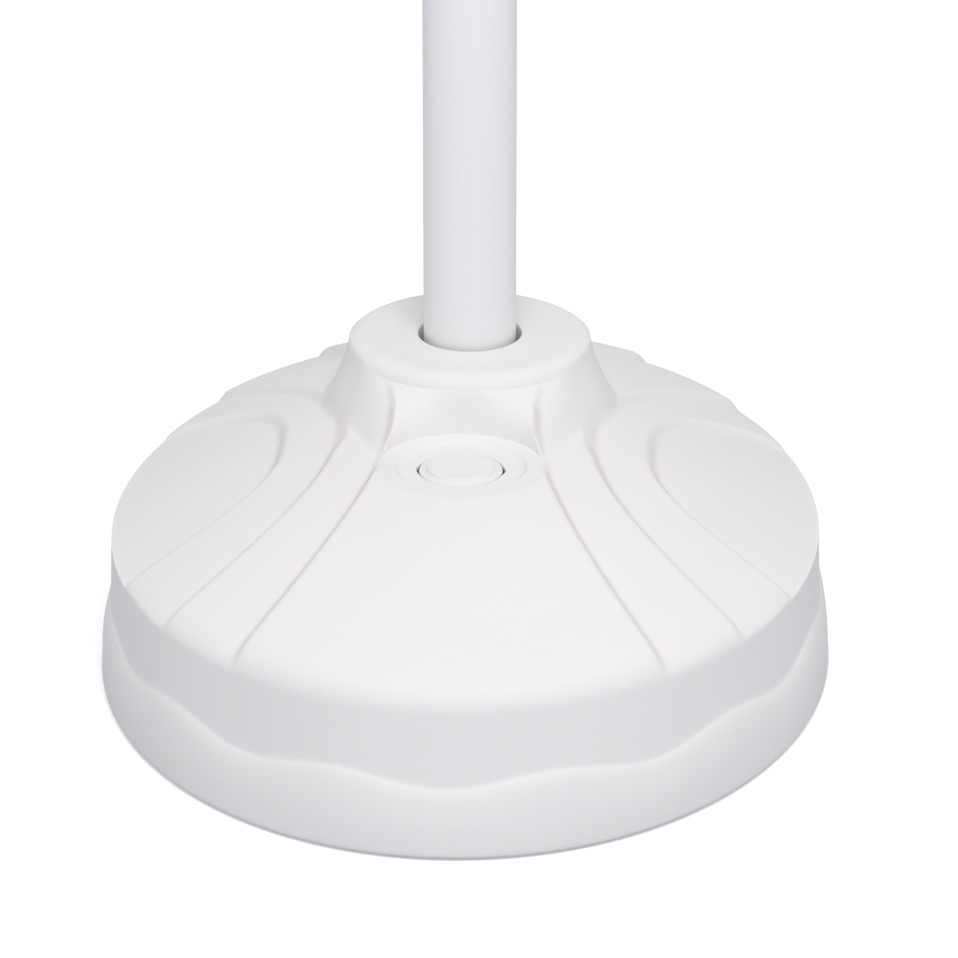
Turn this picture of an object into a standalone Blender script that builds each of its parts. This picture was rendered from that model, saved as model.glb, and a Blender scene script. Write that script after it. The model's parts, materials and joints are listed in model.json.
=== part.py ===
"""Weighted oval stand base with the lower section of its round post.

Metres, +Z up. The filler cap lies towards the front, -Y. The origin is on the floor, under
the middle of the oval base. Every piece is a closed solid of its own.
"""

import math
from collections import namedtuple

import bmesh
import bpy
import numpy as np
from mathutils import Vector

# Gap between pieces that sit on or in each other
SEAT_GAP = 0.0003

# Base body, heights measured from the floor
BASE_WIDTH = 0.380
BASE_DEPTH = 0.486
BOTTOM_ROUND = 0.0022
SKIRT_PROUD = 0.0048
SKIRT_FLARE = 0.002
SKIRT_LOW = 0.039
SKIRT_WAVE = 0.0085
SKIRT_STEP = 0.008
WALL_DRAFT = 0.0013
WAVE_COUNT = 12
DOME_EDGE = 0.0843
DOME_RISE = 0.0555
SHOULDER = 0.019
SHELL_WALL = 0.0045
FLOOR_WALL = 0.006

# Stepped lobes on both sides of the dome
Lobe = namedtuple("Lobe", "tip reach mouth power")
OUTER_LOBE = Lobe(tip=0.0361, reach=0.0675, mouth=0.190, power=2.0)
MIDDLE_LOBE = Lobe(tip=0.0650, reach=0.0643, mouth=0.133, power=2.23)
INNER_LOBE = Lobe(tip=0.0956, reach=0.0452, mouth=0.076, power=2.475)
LOBES = (OUTER_LOBE, MIDDLE_LOBE, INNER_LOBE)
TERRACE_DROP = 0.0044

# Hub and post well
HUB_BACK = 0.0504
HUB_RISE = 0.0215
HUB_RADIUS = 0.0665
HUB_RIM = 0.008
HUB_DRAFT = 0.003
HUB_FLARE = 0.010
WELL_MOUTH_RADIUS = 0.0274
WELL_FLOOR = 0.0105

# Dish and filler
DISH_FORWARD = 0.056
DISH_RADIUS = 0.0402
DISH_FLOOR_RADIUS = 0.0326
DISH_LIP = 0.0024
CAP_RADIUS = 0.0213
CAP_FLANGE = 0.003
CAP_RIM_GAP = 0.0012
CAP_DISC_RADIUS = 0.0172
CAP_DISC_RISE = 0.0018
CAP_DISC_ROUND = 0.0012
CAP_SHANK = 0.014
SEAL_THICKNESS = 0.0015
SEAL_WIDTH = 0.0035
BUSH_BORE_RADIUS = 0.0166
BUSH_WALL = 0.003
BUSH_FLANGE = 0.002
BUSH_BARREL = 0.016
BOSS_FLOOR = 0.004

# Filling, measured down from the height where the wall rounds over
SAND_HEADROOM = 0.0015

# Foot pads
PAD_COUNT = 6
PAD_RADIUS = 0.014
PAD_PROUD = 0.0012
PAD_POCKET = 0.0025
PAD_ROUND = 0.0008
PAD_MARGIN = 0.040

# Post section
POST_DIAMETER = 0.0483
POST_WALL = 0.0024
POST_TOP = 0.370
BOOT_WALL = 0.0024
BOOT_FLOOR = 0.004
BOOT_HEIGHT = 0.032

# Spigot with its snap button
SPIGOT_WALL = 0.0022
SPIGOT_INSIDE = 0.050
SPIGOT_ABOVE = 0.045
SPIGOT_CHAMFER = 0.0015
COLLAR_HEIGHT = 0.003
BUTTON_RADIUS = 0.004
BUTTON_PROUD = 0.004
BUTTON_ROUND = 0.002
BUTTON_LIFT = 0.022
BUTTON_FLANGE_RADIUS = 0.006
BUTTON_FLANGE = 0.0012
SPRING_WIDTH = 0.010
SPRING_THICKNESS = 0.0008
SPRING_ABOVE = 0.008
SPRING_BELOW = 0.012

# Fineness of the meshes
WAVE_POINTS = 8
OVAL_POINTS = WAVE_COUNT * WAVE_POINTS
INNER_POINTS = OVAL_POINTS // 2
ROUND_POINTS = 48
SMALL_POINTS = 24
DOME_RINGS = 8
ARC_STEPS = 4
LOBE_STEPS = 20
SPRING_STEPS = 10
LENGTH_STEPS = 3600
SHARP_ANGLE = math.radians(35)

# How far a cutter passes beyond what it cuts, and beyond a wall that it only meets
OVERCUT = 0.03
SWELL = 0.001

# Sizes that follow from those above
HALF_WIDTH = BASE_WIDTH / 2
HALF_DEPTH = BASE_DEPTH / 2
UNDERSIDE = PAD_PROUD
DOME_CROWN = DOME_EDGE + DOME_RISE
HUB_TOP = DOME_CROWN + HUB_RISE
POST_RADIUS = POST_DIAMETER / 2
POST_BORE = POST_RADIUS - POST_WALL
BOOT_BORE = POST_RADIUS + SEAT_GAP
BOOT_RADIUS = BOOT_BORE + BOOT_WALL
WELL_FOOT = UNDERSIDE + WELL_FLOOR
WELL_FOOT_RADIUS = BOOT_RADIUS + SEAT_GAP
SLEEVE_RADIUS = max(WELL_MOUTH_RADIUS, WELL_FOOT_RADIUS) + SHELL_WALL
BOOT_FOOT = WELL_FOOT + SEAT_GAP
POST_FOOT = BOOT_FOOT + BOOT_FLOOR + SEAT_GAP
CAVITY_FLOOR = UNDERSIDE + FLOOR_WALL
WALL_INSET = SKIRT_PROUD + WALL_DRAFT
CAVITY_INSET = WALL_INSET + SHELL_WALL
SPIGOT_RADIUS = POST_BORE - SEAT_GAP
SPIGOT_BORE = SPIGOT_RADIUS - SPIGOT_WALL
COLLAR_FOOT = POST_TOP + SEAT_GAP
COLLAR_TOP = COLLAR_FOOT + COLLAR_HEIGHT
BUTTON_HEIGHT = COLLAR_TOP + BUTTON_LIFT


def oval_share(x, y):
    """Return how far out a point lies: 0 at the middle of the oval, 1 on its outline."""
    return math.hypot(x / HALF_WIDTH, y / HALF_DEPTH)


def share_at(margin):
    """Return the share of the oval that lies this far inside its outline."""
    return 1.0 - margin / HALF_WIDTH


def dome_height(share):
    """Return the height of the smooth dome above the floor."""
    return DOME_CROWN - DOME_RISE * share ** 2


def terrace_height(share, level):
    """Return the height of the dome after a number of terrace steps down."""
    return dome_height(share) - level * TERRACE_DROP


def inner_height(share):
    """Return the height of the roof of the hollow, one wall below the lowest terrace."""
    return terrace_height(share, len(LOBES)) - SHELL_WALL


DISH_FLOOR = dome_height(oval_share(0.0, DISH_FORWARD + DISH_RADIUS)) - DISH_LIP
CAP_SEAT = DISH_FLOOR - CAP_FLANGE
SEAL_TOP = CAP_SEAT - SEAT_GAP
SEAL_FOOT = SEAL_TOP - SEAL_THICKNESS
BUSH_TOP = SEAL_FOOT - SEAT_GAP
BUSH_SEAT = BUSH_TOP - BUSH_FLANGE
BORE_FLOOR = BUSH_SEAT - SEAT_GAP
BORE_RADIUS = CAP_RADIUS + CAP_RIM_GAP
BARREL_RADIUS = BUSH_BORE_RADIUS + BUSH_WALL
SHANK_RADIUS = BUSH_BORE_RADIUS - SEAT_GAP
BOSS_FOOT = BORE_FLOOR - BOSS_FLOOR
WALL_SHARE = share_at(WALL_INSET)
DOME_SHARE = share_at(WALL_INSET + SHOULDER)
SHOULDER_CORNER = dome_height(WALL_SHARE)
SHOULDER_FOOT = SHOULDER_CORNER - SHOULDER
SAND_LEVEL = SHOULDER_FOOT - SAND_HEADROOM


def outline_angles(count):
    """Return ellipse angles whose points are evenly spaced along the base's outline."""
    edges = np.linspace(0.0, 2.0 * math.pi, LENGTH_STEPS + 1)
    middles = (edges[:-1] + edges[1:]) / 2
    speed = np.hypot(HALF_WIDTH * np.sin(middles), HALF_DEPTH * np.cos(middles))
    length = np.concatenate(([0.0], np.cumsum(speed)))
    marks = np.linspace(0.0, length[-1], count, endpoint=False)
    return np.interp(marks, length, edges)


def skirt_edge(count):
    """Return the height of the wavy skirt edge at each outline point, low at the front."""
    turns = np.arange(count) / count
    return SKIRT_LOW + SKIRT_WAVE * (1.0 - np.cos(2.0 * math.pi * WAVE_COUNT * turns)) / 2


def oval_ring(half_width, half_depth, height, count):
    """Return the points of one oval ring; the height is one number or one for each point."""
    heights = np.broadcast_to(height, count)
    return [
        Vector((half_width * math.cos(angle), half_depth * math.sin(angle), level))
        for angle, level in zip(outline_angles(count), heights)
    ]


def inset_ring(inset, height, count):
    """Return an oval ring at one distance inside the outline."""
    return oval_ring(HALF_WIDTH - inset, HALF_DEPTH - inset, height, count)


def share_ring(share, height, count):
    """Return an oval ring at one share of the outline."""
    return oval_ring(HALF_WIDTH * share, HALF_DEPTH * share, height, count)


def arc(radius, height, size, start, end):
    """Return profile points on an arc about (radius, height), angles in degrees from outward."""
    points = []
    for angle in np.radians(np.linspace(start, end, ARC_STEPS + 1)):
        points.append((radius + size * math.cos(angle), height + size * math.sin(angle)))
    return points


def place(verts, points):
    """Move each vertex to its point."""
    for vert, point in zip(verts, points):
        vert.co = point


def loft(rings):
    """Return a closed mesh through rings of points, with flat ends."""
    mesh = bmesh.new()
    ring = bmesh.ops.create_circle(mesh, segments=len(rings[0]), radius=1.0)["verts"]
    place(ring, rings[0])
    for points in rings[1:]:
        edges = [mesh.edges.get(pair) for pair in zip(ring, ring[1:] + ring[:1])]
        grown = bmesh.ops.extrude_edge_only(mesh, edges=edges)["geom"]
        fresh = {item for item in grown if isinstance(item, bmesh.types.BMVert)}
        ring = [
            next(edge.other_vert(vert) for edge in vert.link_edges if edge.other_vert(vert) in fresh)
            for vert in ring
        ]
        place(ring, points)
    bmesh.ops.holes_fill(mesh, edges=mesh.edges[:])
    bmesh.ops.recalc_face_normals(mesh, faces=mesh.faces[:])
    return mesh


def turned(profile, closed=False, points=ROUND_POINTS):
    """Return a mesh turned about Z from (radius, height) points, open ends filled flat."""
    mesh = bmesh.new()
    verts = [mesh.verts.new((radius, 0.0, height)) for radius, height in profile]
    ends = verts[1:] + verts[:1] if closed else verts[1:]
    edges = [mesh.edges.new(pair) for pair in zip(verts, ends)]
    bmesh.ops.spin(
        mesh, geom=verts + edges, axis=(0, 0, 1), angle=2.0 * math.pi, steps=points, use_merge=True
    )
    bmesh.ops.holes_fill(mesh, edges=mesh.edges[:])
    bmesh.ops.recalc_face_normals(mesh, faces=mesh.faces[:])
    return mesh


def prism(outlines, low, high):
    """Return upright blocks with the given plan outlines."""
    mesh = bmesh.new()
    for outline in outlines:
        face = mesh.faces.new([mesh.verts.new((x, y, low)) for x, y in outline])
        grown = bmesh.ops.extrude_face_region(mesh, geom=[face])["geom"]
        raised = [item for item in grown if isinstance(item, bmesh.types.BMVert)]
        bmesh.ops.translate(mesh, verts=raised, vec=(0.0, 0.0, high - low))
    bmesh.ops.recalc_face_normals(mesh, faces=mesh.faces[:])
    return mesh


def add_object(name, mesh):
    """Put a mesh in the scene under a name."""
    data = bpy.data.meshes.new(name)
    mesh.to_mesh(data)
    mesh.free()
    item = bpy.data.objects.new(name, data)
    bpy.context.scene.collection.objects.link(item)
    return item


def add_piece(name, mesh, material, location=(0.0, 0.0, 0.0), parent=None):
    """Add one piece of the stand, with its material and its place."""
    piece = add_object(name, mesh)
    piece.data.shade_smooth()
    piece.data.set_sharp_from_angle(angle=SHARP_ANGLE)
    piece.data.materials.append(material)
    piece.location = location
    piece.parent = parent
    return piece


def add_cutter(name, mesh, location=(0.0, 0.0, 0.0)):
    """Add a shape that only cuts or fills other shapes."""
    cutter = add_object(name, mesh)
    cutter.location = location
    cutter.hide_render = True
    cutter.display_type = "WIRE"
    return cutter


def add_axis(name, location):
    """Add an empty on a joint axis that carries moving pieces."""
    axis = bpy.data.objects.new(name, None)
    axis.location = location
    bpy.context.scene.collection.objects.link(axis)
    return axis


def combine(target, tool, operation="DIFFERENCE"):
    """Cut, join or intersect one object with another."""
    boolean = target.modifiers.new(tool.name, "BOOLEAN")
    boolean.object = tool
    boolean.operation = operation


def make_material(name, colour, roughness, metallic=0.0):
    """Make a plain material."""
    material = bpy.data.materials.new(name)
    material.use_nodes = True
    shader = material.node_tree.nodes["Principled BSDF"]
    shader.inputs["Base Color"].default_value = (*colour, 1.0)
    shader.inputs["Roughness"].default_value = roughness
    shader.inputs["Metallic"].default_value = metallic
    return material


def dome_shares(start):
    """Return ring positions from a share of the outline to near the middle."""
    return [start * (1.0 - step / DOME_RINGS) for step in range(1, DOME_RINGS)]


def shoulder_rings(level=0, swell=0.0):
    """Return rings on the curve that rounds the wall over into the dome or a terrace."""
    inset = WALL_INSET - swell
    drop = level * TERRACE_DROP
    wall = np.array((HALF_WIDTH - inset, HALF_DEPTH - inset, SHOULDER_FOOT))
    corner = np.array((wall[0], wall[1], SHOULDER_CORNER - drop))
    dome = np.array((HALF_WIDTH * DOME_SHARE, HALF_DEPTH * DOME_SHARE, terrace_height(DOME_SHARE, level)))
    rings = []
    for part in np.linspace(0.0, 1.0, ARC_STEPS + 1):
        spot = wall * (1 - part) ** 2 + corner * 2 * part * (1 - part) + dome * part ** 2
        rings.append(oval_ring(*spot, OVAL_POINTS))
    return rings


def body_mesh():
    """Return the base's outside: rounded foot, wavy skirt, wall, shoulder and dome."""
    edge = skirt_edge(OVAL_POINTS)
    rings = []
    for angle in np.radians(np.linspace(0.0, 90.0, ARC_STEPS)):
        inset = BOTTOM_ROUND * (1.0 - math.sin(angle))
        height = UNDERSIDE + BOTTOM_ROUND * (1.0 - math.cos(angle))
        rings.append(inset_ring(inset, height, OVAL_POINTS))
    for angle in np.radians(np.linspace(0.0, 90.0, ARC_STEPS)):
        inset = SKIRT_FLARE + (SKIRT_PROUD - SKIRT_FLARE) * (1.0 - math.cos(angle))
        height = edge + SKIRT_STEP * (math.sin(angle) - 0.5)
        rings.append(inset_ring(inset, height, OVAL_POINTS))
    rings += shoulder_rings()
    rings += [share_ring(share, dome_height(share), OVAL_POINTS) for share in dome_shares(DOME_SHARE)]
    return loft(rings)


def lobe_edge(lobe, inset, y):
    """Return the distance of a lobe's edge from the middle line at one place along it."""
    return lobe.tip - inset + lobe.reach * (abs(y) / lobe.mouth) ** lobe.power


def lobe_outlines(lobe):
    """Return the plan of a lobe on the right and of its twin on the left."""
    far = HALF_WIDTH + OVERCUT
    end = lobe.mouth * ((far - lobe.tip) / lobe.reach) ** (1.0 / lobe.power)
    right = [(lobe_edge(lobe, 0.0, y), y) for y in np.linspace(-end, end, 2 * LOBE_STEPS + 1)]
    return [right, [(-x, y) for x, y in right]]


def ridge_outline():
    """Return the plan of the band between the outer lobes, one wall inside their edges."""
    places = np.linspace(-HALF_DEPTH, HALF_DEPTH, 2 * LOBE_STEPS + 1)
    right = [(lobe_edge(OUTER_LOBE, SHELL_WALL, y), y) for y in places]
    return right + [(-x, y) for x, y in reversed(right)]


def terrace_cutter(lobe, level):
    """Return a cutter that lowers the inside of a lobe to its terrace."""
    name = f"terrace_{level}"
    rim = share_at(-OVERCUT)
    top = HUB_TOP + OVERCUT
    rings = [share_ring(rim, height, OVAL_POINTS) for height in (top, SHOULDER_CORNER)]
    rings += shoulder_rings(level, SWELL)
    for share in dome_shares(DOME_SHARE):
        rings.append(share_ring(share, terrace_height(share, level), OVAL_POINTS))
    cutter = add_cutter(name, loft(rings))
    plan = add_cutter(name + "_plan", prism(lobe_outlines(lobe), 0.0, top - OVERCUT / 2))
    combine(cutter, plan, "INTERSECT")
    return cutter


def hub_mesh():
    """Return the hub, turned about the post's axis, with a round rim and a flared foot."""
    foot = terrace_height(oval_share(HUB_RADIUS, HUB_BACK), 1)
    flare = HUB_RADIUS + HUB_DRAFT + HUB_FLARE
    profile = [(flare, foot - OVERCUT)]
    profile += arc(flare, foot + HUB_FLARE, HUB_FLARE, 270, 180)
    profile += arc(HUB_RADIUS - HUB_RIM, HUB_TOP - HUB_RIM, HUB_RIM, 0, 90)
    return turned(profile)


def dish_mesh():
    """Return the shape of the shallow dish, from its floor up through the dome."""
    lip = DISH_FLOOR + DISH_LIP
    profile = [(DISH_FLOOR_RADIUS, DISH_FLOOR), (DISH_RADIUS, lip), (DISH_RADIUS, HUB_TOP + OVERCUT)]
    return turned(profile)


def cavity_cutter(hub_place, dish_place):
    """Return the hollow of the base, with the well's sleeve and the filler's boss left standing."""
    inner_share = DOME_SHARE - SHELL_WALL / HALF_WIDTH
    rings = [inset_ring(CAVITY_INSET, height, INNER_POINTS) for height in (CAVITY_FLOOR, SHOULDER_FOOT)]
    shares = [inner_share] + dome_shares(inner_share)
    rings += [share_ring(share, inner_height(share), INNER_POINTS) for share in shares]
    cavity = add_cutter("cavity", loft(rings))

    ridge_share = inner_share - SHELL_WALL / HALF_WIDTH
    rings = [share_ring(ridge_share, SHOULDER_FOOT, INNER_POINTS)]
    for share in [ridge_share] + dome_shares(ridge_share):
        rings.append(share_ring(share, dome_height(share) - SHELL_WALL, INNER_POINTS))
    ridge = add_cutter("cavity_ridge", loft(rings))
    band = add_cutter("cavity_ridge_plan", prism([ridge_outline()], 0.0, HUB_TOP))
    combine(ridge, band, "INTERSECT")

    hub_radius = HUB_RADIUS - HUB_RIM
    hub_low = inner_height(oval_share(HUB_RADIUS, HUB_BACK + HUB_RADIUS)) - SHELL_WALL
    hub_hollow = turned([(hub_radius, hub_low), (hub_radius, HUB_TOP - SHELL_WALL)])
    hub = add_cutter("cavity_hub", hub_hollow, hub_place)

    sleeve = add_cutter("well_sleeve", turned([(SLEEVE_RADIUS, 0.0), (SLEEVE_RADIUS, HUB_TOP)]), hub_place)
    boss_radius = DISH_RADIUS + SHELL_WALL
    boss = add_cutter("filler_boss", turned([(boss_radius, BOSS_FOOT), (boss_radius, HUB_TOP)]), dish_place)
    combine(cavity, ridge, "UNION")
    combine(cavity, hub, "UNION")
    combine(cavity, sleeve)
    combine(cavity, boss)
    return cavity


def well_mesh():
    """Return the shape of the post's well, which widens a little towards its mouth."""
    slope = (WELL_MOUTH_RADIUS - WELL_FOOT_RADIUS) / (HUB_TOP - WELL_FOOT)
    top = HUB_TOP + OVERCUT
    return turned([(WELL_FOOT_RADIUS, WELL_FOOT), (WELL_MOUTH_RADIUS + slope * OVERCUT, top)])


def filler_mesh():
    """Return the shape of the stepped hole for the bush and the cap."""
    barrel = BARREL_RADIUS + SEAT_GAP
    return turned([
        (barrel, BOSS_FOOT - OVERCUT),
        (barrel, BORE_FLOOR),
        (BORE_RADIUS, BORE_FLOOR),
        (BORE_RADIUS, DISH_FLOOR + OVERCUT),
    ])


def pad_places():
    """Return where the foot pads lie under the rim of the base."""
    places = []
    for number in range(PAD_COUNT):
        angle = 2.0 * math.pi * (number + 0.5) / PAD_COUNT
        x = (HALF_WIDTH - PAD_MARGIN) * math.cos(angle)
        y = (HALF_DEPTH - PAD_MARGIN) * math.sin(angle)
        places.append((x, y, 0.0))
    return places


def add_base(material, hub_place, dish_place):
    """Build the hollow moulded base."""
    base = add_piece("base_shell", body_mesh(), material)
    for level, lobe in enumerate(LOBES, start=1):
        combine(base, terrace_cutter(lobe, level))
    combine(base, add_cutter("dish", dish_mesh(), dish_place))
    combine(base, add_cutter("hub", hub_mesh(), hub_place), "UNION")
    combine(base, cavity_cutter(hub_place, dish_place))
    combine(base, add_cutter("well", well_mesh(), hub_place))
    combine(base, add_cutter("filler_hole", filler_mesh(), dish_place))
    pocket_radius = PAD_RADIUS + SEAT_GAP
    pocket_profile = [(pocket_radius, -OVERCUT), (pocket_radius, UNDERSIDE + PAD_POCKET)]
    for number, spot in enumerate(pad_places(), start=1):
        pocket = turned(pocket_profile, points=SMALL_POINTS)
        combine(base, add_cutter(f"pad_pocket_{number}", pocket, spot))


def add_pads(material):
    """Build the rubber pads that the base stands on."""
    top = UNDERSIDE + PAD_POCKET - SEAT_GAP
    profile = [(PAD_RADIUS - PAD_ROUND, 0.0), (PAD_RADIUS, PAD_ROUND), (PAD_RADIUS, top)]
    for number, spot in enumerate(pad_places(), start=1):
        add_piece(f"foot_pad_{number}", turned(profile, points=SMALL_POINTS), material, spot)


def add_sand(material, hub_place):
    """Build the filling, which lies on the floor of the hollow round the well's sleeve."""
    inset = CAVITY_INSET + SEAT_GAP
    low = CAVITY_FLOOR + SEAT_GAP
    rings = [inset_ring(inset, height, INNER_POINTS) for height in (low, SAND_LEVEL)]
    sand = add_piece("sand_ballast", loft(rings), material)
    core_radius = SLEEVE_RADIUS + SEAT_GAP
    core = turned([(core_radius, -OVERCUT), (core_radius, SAND_LEVEL + OVERCUT)])
    combine(sand, add_cutter("sand_core", core, hub_place))


def add_filler(plastic, rubber, axis):
    """Build the threaded bush, the seal and the screw cap."""
    flange = BORE_RADIUS - SEAT_GAP
    bush = [
        (BUSH_BORE_RADIUS, BUSH_TOP),
        (flange, BUSH_TOP),
        (flange, BUSH_SEAT),
        (BARREL_RADIUS, BUSH_SEAT),
        (BARREL_RADIUS, BUSH_SEAT - BUSH_BARREL),
        (BUSH_BORE_RADIUS, BUSH_SEAT - BUSH_BARREL),
    ]
    add_piece("filler_bush", turned(bush, closed=True), plastic, parent=axis)

    seal_bore = SHANK_RADIUS + SEAT_GAP
    seal = [
        (seal_bore, SEAL_TOP),
        (seal_bore + SEAL_WIDTH, SEAL_TOP),
        (seal_bore + SEAL_WIDTH, SEAL_FOOT),
        (seal_bore, SEAL_FOOT),
    ]
    add_piece("cap_seal", turned(seal, closed=True), rubber, parent=axis)

    disc_top = DISH_FLOOR + CAP_DISC_RISE
    cap = [(SHANK_RADIUS, CAP_SEAT - CAP_SHANK), (SHANK_RADIUS, CAP_SEAT), (CAP_RADIUS, CAP_SEAT)]
    cap += [(CAP_RADIUS, DISH_FLOOR), (CAP_DISC_RADIUS, DISH_FLOOR)]
    cap += arc(CAP_DISC_RADIUS - CAP_DISC_ROUND, disc_top - CAP_DISC_ROUND, CAP_DISC_ROUND, 0, 90)
    add_piece("filler_cap", turned(cap), plastic, parent=axis)


def add_post(metal, rubber, axis):
    """Build the rubber boot and the post's tube."""
    boot_top = BOOT_FOOT + BOOT_HEIGHT
    boot_floor = BOOT_FOOT + BOOT_FLOOR
    boot = [
        (BOOT_RADIUS, BOOT_FOOT),
        (BOOT_RADIUS, boot_top),
        (BOOT_BORE, boot_top),
        (BOOT_BORE, boot_floor),
    ]
    add_piece("post_boot", turned(boot), rubber, parent=axis)

    tube = [
        (POST_RADIUS, POST_TOP),
        (POST_RADIUS, POST_FOOT),
        (POST_BORE, POST_FOOT),
        (POST_BORE, POST_TOP),
    ]
    add_piece("post_tube", turned(tube, closed=True), metal, parent=axis)


def add_spigot(metal, axis):
    """Build the sleeve in the post's upper end, with the hole for its button."""
    top = COLLAR_TOP + SPIGOT_ABOVE
    low = COLLAR_FOOT - SPIGOT_INSIDE
    profile = [
        (SPIGOT_BORE, top),
        (SPIGOT_RADIUS - SPIGOT_CHAMFER, top),
        (SPIGOT_RADIUS, top - SPIGOT_CHAMFER),
        (SPIGOT_RADIUS, COLLAR_TOP),
        (POST_RADIUS, COLLAR_TOP),
        (POST_RADIUS, COLLAR_FOOT),
        (SPIGOT_RADIUS, COLLAR_FOOT),
        (SPIGOT_RADIUS, low),
        (SPIGOT_BORE, low),
    ]
    spigot = add_piece("post_spigot", turned(profile, closed=True), metal, parent=axis)
    hole_radius = BUTTON_RADIUS + SEAT_GAP
    hole_profile = [(hole_radius, 0.0), (hole_radius, POST_RADIUS)]
    hole = add_cutter("button_hole", turned(hole_profile, points=SMALL_POINTS))
    hole.parent = axis
    hole.location = (0.0, 0.0, BUTTON_HEIGHT)
    hole.rotation_euler = (math.radians(90), 0.0, 0.0)
    combine(spigot, hole)


def button_seat():
    """Return how far the button's flange face lies from the post's axis."""
    return math.sqrt(SPIGOT_BORE ** 2 - BUTTON_FLANGE_RADIUS ** 2) - SEAT_GAP


def add_button(metal, axis):
    """Build the snap button, which stands out of the spigot towards the front."""
    seat = button_seat()
    tip = SPIGOT_RADIUS + BUTTON_PROUD
    profile = [
        (BUTTON_FLANGE_RADIUS, seat - BUTTON_FLANGE),
        (BUTTON_FLANGE_RADIUS, seat),
        (BUTTON_RADIUS, seat),
    ]
    profile += arc(BUTTON_RADIUS - BUTTON_ROUND, tip - BUTTON_ROUND, BUTTON_ROUND, 0, 90)
    button = add_piece("snap_button", turned(profile, points=SMALL_POINTS), metal, parent=axis)
    button.location = (0.0, 0.0, BUTTON_HEIGHT)
    button.rotation_euler = (math.radians(90), 0.0, 0.0)


def add_spring(metal, axis):
    """Build the bent leaf spring between the button and the far wall of the spigot."""
    half_sheet = SPRING_THICKNESS / 2
    front = -(button_seat() - BUTTON_FLANGE - SEAT_GAP - half_sheet)
    back = math.sqrt(SPIGOT_BORE ** 2 - (SPRING_WIDTH / 2) ** 2) - SEAT_GAP - half_sheet
    bend = (back - front) / 2
    middle = (back + front) / 2
    low = BUTTON_HEIGHT - SPRING_BELOW
    high = BUTTON_HEIGHT + SPRING_ABOVE
    path = [(front, high)]
    for angle in np.linspace(math.pi, 2.0 * math.pi, SPRING_STEPS + 1):
        path.append((middle + bend * math.cos(angle), low + bend * math.sin(angle)))
    path.append((back, high))

    mesh = bmesh.new()
    verts = [mesh.verts.new((-SPRING_WIDTH / 2, y, z)) for y, z in path]
    edges = [mesh.edges.new(pair) for pair in zip(verts, verts[1:])]
    grown = bmesh.ops.extrude_edge_only(mesh, edges=edges)["geom"]
    moved = [item for item in grown if isinstance(item, bmesh.types.BMVert)]
    bmesh.ops.translate(mesh, verts=moved, vec=(SPRING_WIDTH, 0.0, 0.0))
    spring = add_piece("button_spring", mesh, metal, parent=axis)
    sheet = spring.modifiers.new("thickness", "SOLIDIFY")
    sheet.thickness = SPRING_THICKNESS
    sheet.offset = 0.0


def main():
    """Clear the scene and build every piece of the stand."""
    for item in list(bpy.data.objects):
        bpy.data.objects.remove(item, do_unlink=True)

    white_plastic = make_material("white_plastic", (0.84, 0.83, 0.835), 0.45)
    cap_plastic = make_material("cap_plastic", (0.84, 0.83, 0.835), 0.42)
    white_paint = make_material("white_paint", (0.82, 0.83, 0.85), 0.35)
    dark_rubber = make_material("dark_rubber", (0.05, 0.05, 0.05), 0.8)
    bare_steel = make_material("bare_steel", (0.62, 0.62, 0.63), 0.3, 1.0)
    dry_sand = make_material("dry_sand", (0.55, 0.44, 0.28), 0.95)

    hub_place = (0.0, HUB_BACK, 0.0)
    dish_place = (0.0, -DISH_FORWARD, 0.0)
    post_axis = add_axis("post_axis", hub_place)
    cap_axis = add_axis("cap_axis", dish_place)

    add_base(white_plastic, hub_place, dish_place)
    add_pads(dark_rubber)
    add_sand(dry_sand, hub_place)
    add_filler(cap_plastic, dark_rubber, cap_axis)
    add_post(white_paint, dark_rubber, post_axis)
    add_spigot(bare_steel, post_axis)
    add_button(bare_steel, post_axis)
    add_spring(bare_steel, post_axis)


main()
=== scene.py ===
"""Looks of a weighted stand base with the lower section of its round post.

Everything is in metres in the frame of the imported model: +Z up, the filler cap towards -Y.
Each sub-assembly is a class that builds its own meshes and dresses them.
"""

from __future__ import annotations

import json
import logging
import math
from dataclasses import dataclass
from enum import Enum

import bmesh
import bpy
import numpy as np
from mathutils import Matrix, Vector

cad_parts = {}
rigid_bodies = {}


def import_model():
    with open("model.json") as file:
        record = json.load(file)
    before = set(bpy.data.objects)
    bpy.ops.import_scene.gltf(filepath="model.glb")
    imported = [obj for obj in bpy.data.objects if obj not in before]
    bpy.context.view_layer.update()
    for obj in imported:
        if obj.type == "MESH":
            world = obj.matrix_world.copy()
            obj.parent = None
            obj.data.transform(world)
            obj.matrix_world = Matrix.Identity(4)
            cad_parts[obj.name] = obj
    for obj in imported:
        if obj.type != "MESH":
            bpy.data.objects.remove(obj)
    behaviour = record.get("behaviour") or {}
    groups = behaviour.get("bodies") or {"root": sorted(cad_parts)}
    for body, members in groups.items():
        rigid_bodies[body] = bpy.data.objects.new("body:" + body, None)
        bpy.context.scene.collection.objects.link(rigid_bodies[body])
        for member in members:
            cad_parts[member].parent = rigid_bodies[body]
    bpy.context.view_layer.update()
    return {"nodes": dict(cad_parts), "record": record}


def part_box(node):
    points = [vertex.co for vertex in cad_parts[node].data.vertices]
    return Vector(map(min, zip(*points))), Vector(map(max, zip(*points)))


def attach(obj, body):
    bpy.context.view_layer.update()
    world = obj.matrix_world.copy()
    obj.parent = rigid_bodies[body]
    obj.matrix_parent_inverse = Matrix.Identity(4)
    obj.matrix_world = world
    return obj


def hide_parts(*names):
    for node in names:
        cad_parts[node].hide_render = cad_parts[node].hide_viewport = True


for leftover in list(bpy.data.objects):
    bpy.data.objects.remove(leftover, do_unlink=True)
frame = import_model()

LOG = logging.getLogger("stand_base")

Profile = list[tuple[float, float]]


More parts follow.
